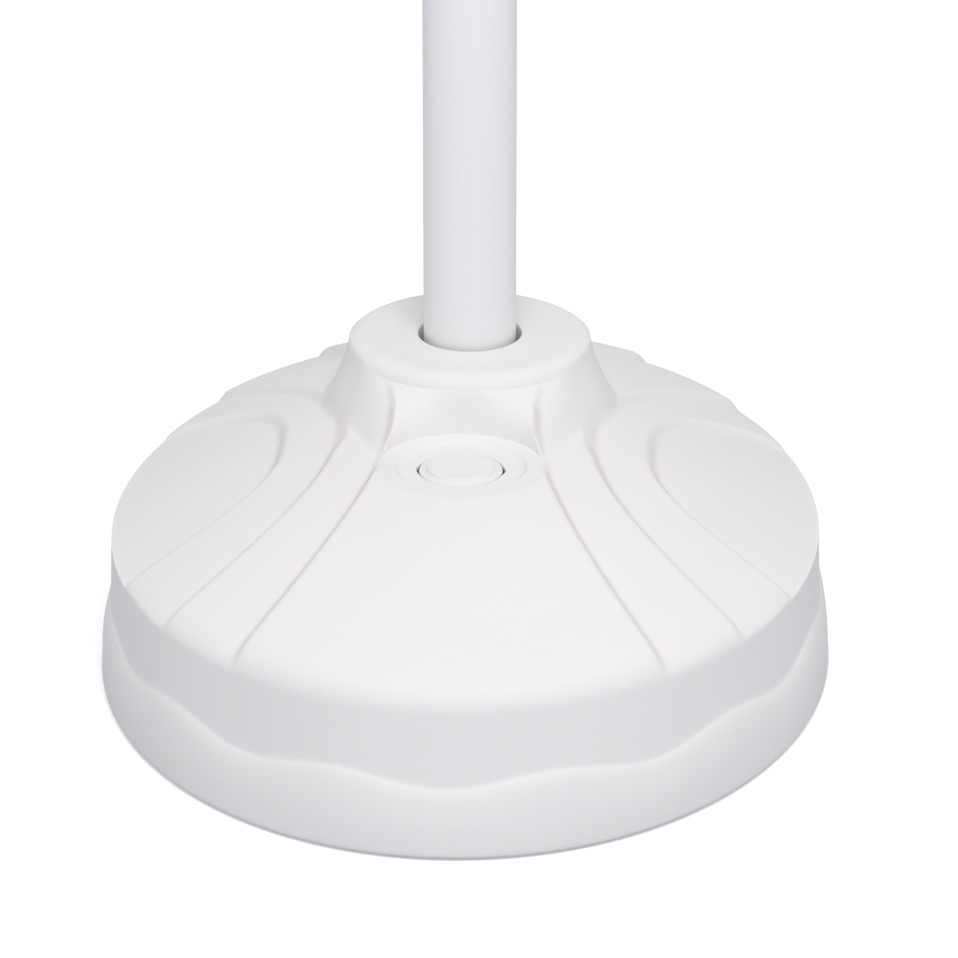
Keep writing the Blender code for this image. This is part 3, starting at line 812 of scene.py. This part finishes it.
            edge = axis + mix(self.hub_flat, reach, np.cos(angle)[:, None]) * aim
            height = wall_top + self.hub_rim * np.sin(angle)
            ring = PieceMaker.grow(mesh, ring, np.column_stack([edge, height]))
        for radius, height in self.hub_profile():
            spots = np.column_stack([axis + radius * aim, np.full(len(aim), height)])
            ring = PieceMaker.grow(mesh, ring, spots)
        PieceMaker.cover(mesh, ring)

    @staticmethod
    def hollow_height(out: np.ndarray, hollow: np.ndarray) -> np.ndarray:
        """Return the height of a hollow wall.

        Args:
            out: part of the way out from the wall's top to its foot.
            hollow: how deeply the wall is hollowed, 1 for a straight one and less for a bulging one.

        Returns:
            The part of the way up from the foot.
        """
        return 1.0 - (1.0 - (1.0 - out) ** hollow) ** (1.0 / hollow)

    def hub_profile(self) -> Profile:
        """Return the hub's top, well mouth and well as distance from the axis and height."""
        points = []
        flat = self.mouth_radius + self.mouth_round
        for part in np.linspace(0.0, 1.0, 8)[1:]:
            sink = self.top_sink * math.sin(math.pi * part) ** 2
            points.append((mix(self.hub_flat, flat, part), self.hub_top - sink))
        points += arc((flat, self.hub_top - self.mouth_round), self.mouth_round, 90, 180, 6)[1:]
        points += [(self.well_foot_radius, self.well_foot), (self.well_foot_radius / 2, self.well_foot)]
        return points

    def grow_dish(self, mesh: bmesh.types.BMesh, ring: list) -> None:
        """Build the dish round the filler cap and the stepped filler hole."""
        edge = np.array([vert.co for vert in ring])
        turn = np.concatenate([
            np.linspace(-self.dish_turn, self.dish_turn, self.front_points + 1),
            np.linspace(self.dish_turn, math.tau - self.dish_turn, self.panel_points + 1)[1:-1],
        ])
        aim = self.compass(turn)
        axis = np.array((0.0, -self.dish_forward))
        lip = axis + self.lip_radius * aim
        for part in np.linspace(0.0, 1.0, 8)[1:]:
            plan = mix(edge[:, :2], lip, part)
            height = mix(edge[:, 2], self.platform, smooth(np.array(part)))
            ring = PieceMaker.grow(mesh, ring, np.column_stack([plan, height]))
        from_side = np.abs(np.abs(turn % math.tau - math.pi) - math.pi / 2)
        notch = np.exp(-((from_side / self.notch_spread) ** 2))
        for radius, height in self.dish_profile():
            beside_cap = self.barrel_radius < radius < self.bore_radius + self.notch_reach
            if beside_cap and height > self.dish_floor - self.notch_foot:
                radius = (radius + self.notch_depth * notch)[:, None]
            spots = np.column_stack([axis + radius * aim, np.full(len(aim), height)])
            ring = PieceMaker.grow(mesh, ring, spots)
        PieceMaker.cover(mesh, ring)

    def dish_profile(self) -> Profile:
        """Return the dish's bank and floor and the filler hole as distance from the axis and height."""
        points = []
        for part in np.linspace(0.0, 1.0, 10)[1:]:
            radius = mix(self.lip_radius, self.floor_radius, part)
            points.append((radius, mix(self.platform, self.dish_floor, float(smooth(np.array(part))))))
        bore_top = self.bore_radius + self.bore_round
        points += [(mix(self.floor_radius, bore_top, part), self.dish_floor) for part in (0.4, 0.8, 1.0)]
        points += arc((bore_top, self.dish_floor - self.bore_round), self.bore_round, 90, 180, 4)[1:]
        bore_floor = self.dish_floor - self.bore_depth
        points += [
            (self.bore_radius, self.dish_floor - self.undercut[0]),
            (self.bush_room, self.dish_floor - self.undercut[1]),
            (self.bush_room, bore_floor),
            (self.barrel_radius, bore_floor),
            (self.barrel_radius, self.barrel_foot),
            (self.barrel_radius / 2, self.barrel_foot),
        ]
        return points

    def mark_creases(self, shell: bpy.types.Object) -> None:
        """Store how strongly each vertex gets painted shade at the foot of a step, more towards the front."""
        count = len(shell.data.vertices)
        spots = np.empty(count * 3)
        shell.data.vertices.foreach_get("co", spots)
        x, y, z = spots.reshape(count, 3).T
        beside_dish = smooth((np.hypot(x, y + self.dish_forward) - self.dish_foot) / 0.003)
        beside_hub = smooth((np.hypot(x, y - self.hub_back) - self.flank_foot) / 0.006)
        on_dome = smooth((z - self.wall_top) / 0.012) * beside_dish * beside_hub
        beyond = np.array([lobe.beyond(x, y) for lobe in self.lobes])
        gaps = np.exp(-(((beyond - self.crease_shade_offset) / self.crease_shade_spread) ** 2))
        # painted shade along the step creases, read by the plastic's material
        crease_shade = shell.data.attributes.new("crease_shade", "FLOAT", "POINT")
        in_front = mix(0.25, 1.0, smooth((0.05 - y) / 0.06))
        crease_shade.data.foreach_set("value", np.max(gaps, axis=0) * on_dome * in_front)

    def build(self) -> None:
        """Build the shell and let it stand for the CAD solid."""
        shell = PieceMaker.finish("base_skin", self.build_mesh(), self.finish.make("moulded_shell"))
        self.mark_creases(shell)
        PieceMaker.hand_over(shell, Body.BASE, Slot.SHELL, "base_shell")


@dataclass
class FillerCap:
    """The screw cap in the dish, with a raised disc."""

    finish: MouldedPlastic = MouldedPlastic(roughness=(0.50, 0.60))
    flange: float = 0.003
    disc_radius: float = 0.0172
    disc_rise: float = 0.0018
    disc_round: float = 0.0012
    edge_round: float = 0.0009
    shank_radius: float = 0.0163
    thread: float = 0.0011
    thread_foot: float = 0.0022
    thread_turns: float = 2.4
    steps: int = 128

    def build(self) -> None:
        """Build the cap and let it stand for the CAD solid."""
        low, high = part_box("filler_cap")
        axis = PieceMaker.axis_of("filler_cap")
        radius = (high.x - low.x) / 2
        disc, bend = self.disc_radius, self.disc_round
        face = high.z - self.disc_rise
        seat = face - self.flange
        core = self.shank_radius - self.thread
        profile = arc((core - self.edge_round, low.z + self.edge_round), self.edge_round, 270, 360, 3)
        profile += [(core, seat)]
        profile += arc((radius - self.edge_round, seat + self.edge_round), self.edge_round, 270, 360, 3)
        profile += arc((radius - self.edge_round, face - self.edge_round), self.edge_round, 0, 90, 4)
        profile += [(disc + bend / 2, face)]
        profile += arc((disc - bend, high.z - bend), bend, 0, 90, 6)
        profile += [(disc - 0.004, high.z - 0.0003), (disc / 2, high.z - 0.0004)]
        mesh = PieceMaker.turned(profile, axis, self.steps)
        foot = low.z + self.thread_foot
        PieceMaker.add_thread(mesh, axis, core - 0.0002, self.shank_radius, foot, self.thread_turns)
        cap = PieceMaker.finish("cap_skin", mesh, self.finish.make("cap_plastic_satin"))
        PieceMaker.hand_over(cap, Body.CAP, Slot.CAP, "filler_cap")


@dataclass
class FillerBush:
    """The threaded bush under the cap, with its ring seal."""

    finish: MouldedPlastic = MouldedPlastic(roughness=(0.50, 0.60))
    rubber: Rubber = Rubber()
    bore: float = 0.0166
    wall: float = 0.003
    flange: float = 0.002
    thread: float = 0.0008
    thread_foot: float = 0.0025
    thread_turns: float = 3.2
    chamfer: float = 0.001
    edge_round: float = 0.0004
    seal_width: float = 0.0035
    steps: int = 96

    def build(self) -> None:
        """Build the bush and the seal and let them stand for the CAD solids."""
        low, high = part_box("filler_bush")
        axis = PieceMaker.axis_of("filler_bush")
        rim = (high.x - low.x) / 2
        barrel = self.bore + self.wall
        small = self.edge_round
        root = self.bore + self.thread
        profile = [(root, low.z), (barrel - self.chamfer, low.z), (barrel, low.z + self.chamfer)]
        profile += [(barrel, high.z - self.flange)]
        profile += arc((rim - small, high.z - self.flange + small), small, 270, 360, 3)
        profile += arc((rim - small, high.z - small), small, 0, 90, 3)
        profile += arc((root + small, high.z - small), small, 90, 180, 3)
        mesh = PieceMaker.turned(profile, axis, self.steps, closed=True)
        foot = low.z + self.thread_foot
        PieceMaker.add_thread(mesh, axis, root + 0.0002, self.bore, foot, self.thread_turns)
        bush = PieceMaker.finish("bush_skin", mesh, self.finish.make("bush_plastic"))
        PieceMaker.hand_over(bush, Body.BASE, Slot.CAP, "filler_bush")
        self.build_seal(axis)

    def build_seal(self, axis: tuple[float, float]) -> None:
        """Build the ring seal with rounded edges."""
        low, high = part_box("cap_seal")
        outer = (high.x - low.x) / 2
        inner = outer - self.seal_width
        small = self.edge_round
        profile = arc((outer - small, low.z + small), small, -90, 0, 3)
        profile += arc((outer - small, high.z - small), small, 0, 90, 3)
        profile += arc((inner + small, high.z - small), small, 90, 180, 3)
        profile += arc((inner + small, low.z + small), small, 180, 270, 3)
        mesh = PieceMaker.turned(profile, axis, self.steps, closed=True)
        seal = PieceMaker.finish("seal_skin", mesh, self.rubber.make("seal_rubber"))
        PieceMaker.hand_over(seal, Body.SEAL, Slot.RUBBER, "cap_seal")


@dataclass
class PostBoot:
    """The ribbed rubber boot on the post's foot."""

    finish: Rubber = Rubber()
    wall: float = 0.0024
    floor: float = 0.004
    rib_depth: float = 0.0007
    ribs: int = 5
    edge_round: float = 0.0010
    steps: int = 128

    def build(self) -> None:
        """Build the boot and let it stand for the CAD solid."""
        low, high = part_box("post_boot")
        axis = PieceMaker.axis_of("post_boot")
        outer = (high.x - low.x) / 2
        bore = outer - self.wall
        small = self.edge_round
        profile = arc((outer - small, low.z + small), small, -90, 0, 4)
        pitch = (high.z - low.z - 4 * small) / self.ribs
        for number in range(self.ribs):
            foot = low.z + 2 * small + number * pitch
            profile += [
                (outer, foot + pitch * 0.30),
                (outer - self.rib_depth, foot + pitch * 0.40),
                (outer - self.rib_depth, foot + pitch * 0.60),
                (outer, foot + pitch * 0.70),
            ]
        profile += arc((outer - small, high.z - small), small, 0, 90, 4)
        profile += [(bore + 0.0004, high.z), (bore, high.z - 0.0004), (bore, low.z + self.floor)]
        mesh = PieceMaker.turned(profile, axis, self.steps)
        boot = PieceMaker.finish("boot_skin", mesh, self.finish.make("boot_rubber"))
        PieceMaker.hand_over(boot, Body.BOOT, Slot.RUBBER, "post_boot")


@dataclass
class FootPads:
    """The grooved rubber pads under the base."""

    finish: Rubber = Rubber()
    count: int = 6
    groove: float = 0.0006
    edge_round: float = 0.0006
    steps: int = 72

    def profile(self, radius: float, foot: float, top: float) -> Profile:
        """Return a pad's section with ring grooves in its sole, from the middle out and up."""
        points = [(radius * 0.16, foot + self.groove), (radius * 0.22, foot)]
        for place in (0.42, 0.66):
            points += [(radius * place, foot), (radius * (place + 0.04), foot + self.groove)]
            points += [(radius * (place + 0.10), foot + self.groove), (radius * (place + 0.14), foot)]
        points += arc((radius - self.edge_round, foot + self.edge_round), self.edge_round, -90, 0, 4)
        points += [(radius, top - 0.0003), (radius - 0.0003, top)]
        return points

    def build(self) -> None:
        """Build the pads and let them stand for the CAD solids."""
        material = self.finish.make("pad_rubber")
        for number in range(1, self.count + 1):
            node = f"foot_pad_{number}"
            low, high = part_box(node)
            section = self.profile((high.x - low.x) / 2, low.z, high.z)
            mesh = PieceMaker.turned(section, PieceMaker.axis_of(node), self.steps)
            pad = PieceMaker.finish(f"pad_skin_{number}", mesh, material)
            PieceMaker.hand_over(pad, Body.BASE, Slot.RUBBER, node)


@dataclass
class Post:
    """The round post's tube."""

    finish: PowderCoat = PowderCoat()
    wall: float = 0.0024
    edge_round: float = 0.0006
    steps: int = 128

    def build(self) -> None:
        """Build the tube and let it stand for the CAD solid."""
        low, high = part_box("post_tube")
        axis = PieceMaker.axis_of("post_tube")
        outer = (high.x - low.x) / 2
        inner = outer - self.wall
        small = self.edge_round
        profile = arc((outer - small, high.z - small), small, 90, 0, 4)
        profile += arc((outer - small, low.z + small), small, 0, -90, 4)
        profile += arc((inner + small, low.z + small), small, 270, 180, 4)
        profile += arc((inner + small, high.z - small), small, 180, 90, 4)
        mesh = PieceMaker.turned(profile, axis, self.steps, closed=True)
        tube = PieceMaker.finish("post_skin", mesh, self.finish.make("post_powder_coat"))
        PieceMaker.hand_over(tube, Body.POST, Slot.PAINT, "post_tube")


@dataclass
class PlainNodes:
    """CAD nodes that keep their own shape and only get a finish."""

    steel: DrawnSteel = DrawnSteel()
    sand: DrySand = DrySand()

    def build(self) -> None:
        """Give every node that still shows a procedural material."""
        finishes = {
            Slot.STEEL.value: self.steel.make("drawn_steel"),
            Slot.SAND.value: self.sand.make("loose_sand"),
        }
        for row in frame["record"]["subparts"]:
            node = frame["nodes"][row["node"]]
            if node.hide_render:
                continue
            node.data.materials.clear()
            node.data.materials.append(finishes[row["material_slot"]])
            LOG.info("%s keeps its solid", row["node"])


@dataclass
class Studio:
    """Floor, soft light and the camera at the photograph's angle."""

    camera_place: tuple = (0.1272, -2.8707, 1.3338)
    camera_tilt: float = 66.75
    camera_turn: float = 2.4
    lens: float = 226.66
    floor_size: float = 12.0
    floor_glow: float = 0.32
    world_strength: float = 0.63
    key_power: float = 48.0
    key_place: tuple = (0.30, -1.75, 2.80)
    key_size: float = 1.6
    key_colour: tuple = (0.985, 0.99, 1.0)
    key_aim: tuple = (0.0, 0.0, 0.1)

    def build(self) -> None:
        """Build the stage."""
        self.add_floor()
        self.add_world()
        self.add_softbox()
        self.add_camera()

    def add_floor(self) -> None:
        """Add the pale floor, which is white to the camera but keeps the shadow."""
        mesh = bmesh.new()
        bmesh.ops.create_grid(mesh, x_segments=2, y_segments=2, size=self.floor_size)
        paint = NodePainter("studio_floor")
        paint.shader.inputs["Base Color"].default_value = (0.86, 0.89, 0.93, 1.0)
        paint.shader.inputs["Roughness"].default_value = 0.9
        glow = paint.add("ShaderNodeEmission")
        glow.inputs["Strength"].default_value = self.floor_glow
        lifted = paint.add("ShaderNodeAddShader")
        paint.join(paint.shader.outputs["BSDF"], lifted.inputs[0])
        paint.join(glow.outputs["Emission"], lifted.inputs[1])
        pick = paint.add("ShaderNodeMixShader")
        paint.join(paint.add("ShaderNodeLightPath").outputs["Is Camera Ray"], pick.inputs["Fac"])
        bounce = paint.add("ShaderNodeBsdfDiffuse")
        bounce.inputs["Color"].default_value = (0.67, 0.70, 0.75, 1.0)
        paint.join(bounce.outputs["BSDF"], pick.inputs[1])
        paint.join(lifted.outputs["Shader"], pick.inputs[2])
        paint.join(pick.outputs["Shader"], paint.tree.nodes["Material Output"].inputs["Surface"])
        data = bpy.data.meshes.new("floor")
        mesh.to_mesh(data)
        mesh.free()
        data.materials.append(paint.material)
        floor = bpy.data.objects.new("floor", data)
        bpy.context.scene.collection.objects.link(floor)

    def add_world(self) -> None:
        """Add even light from all round, white to the camera."""
        world = bpy.data.worlds.new("studio")
        bpy.context.scene.world = world
        world.use_nodes = True
        tree = world.node_tree
        sky = tree.nodes["Background"]
        sky.inputs["Strength"].default_value = self.world_strength
        sky.inputs["Color"].default_value = (1.0, 0.975, 0.97, 1.0)
        white = tree.nodes.new("ShaderNodeBackground")
        white.inputs["Color"].default_value = (1.0, 1.0, 1.0, 1.0)
        white.inputs["Strength"].default_value = 1.0
        path = tree.nodes.new("ShaderNodeLightPath")
        pick = tree.nodes.new("ShaderNodeMixShader")
        tree.links.new(path.outputs["Is Camera Ray"], pick.inputs["Fac"])
        tree.links.new(sky.outputs["Background"], pick.inputs[1])
        tree.links.new(white.outputs["Background"], pick.inputs[2])
        tree.links.new(pick.outputs["Shader"], tree.nodes["World Output"].inputs["Surface"])

    def add_softbox(self) -> None:
        """Add a square soft light that aims at the base."""
        data = bpy.data.lights.new("softbox", "AREA")
        data.shape = "SQUARE"
        data.size = self.key_size
        data.energy = self.key_power
        data.color = self.key_colour
        lamp = bpy.data.objects.new("softbox", data)
        lamp.location = self.key_place
        aim = Vector(self.key_aim) - lamp.location
        lamp.rotation_euler = aim.to_track_quat("-Z", "Y").to_euler()
        bpy.context.scene.collection.objects.link(lamp)

    def add_camera(self) -> None:
        """Add the camera."""
        data = bpy.data.cameras.new("camera")
        data.lens = self.lens
        data.sensor_width = 36.0
        data.clip_end = 100.0
        camera = bpy.data.objects.new("camera", data)
        camera.location = self.camera_place
        camera.rotation_euler = (math.radians(self.camera_tilt), 0.0, math.radians(self.camera_turn))
        bpy.context.scene.collection.objects.link(camera)
        bpy.context.scene.camera = camera


def main() -> None:
    """Build every sub-assembly and the stage."""
    logging.basicConfig(level=logging.INFO, format="%(name)s: %(message)s")
    bpy.context.scene.view_settings.view_transform = "Standard"
    assemblies = (
        BaseShell(), FillerCap(), FillerBush(), PostBoot(), FootPads(), Post(), PlainNodes(), Studio(),
    )
    for assembly in assemblies:
        assembly.build()


if __name__ == "__main__":
    main()
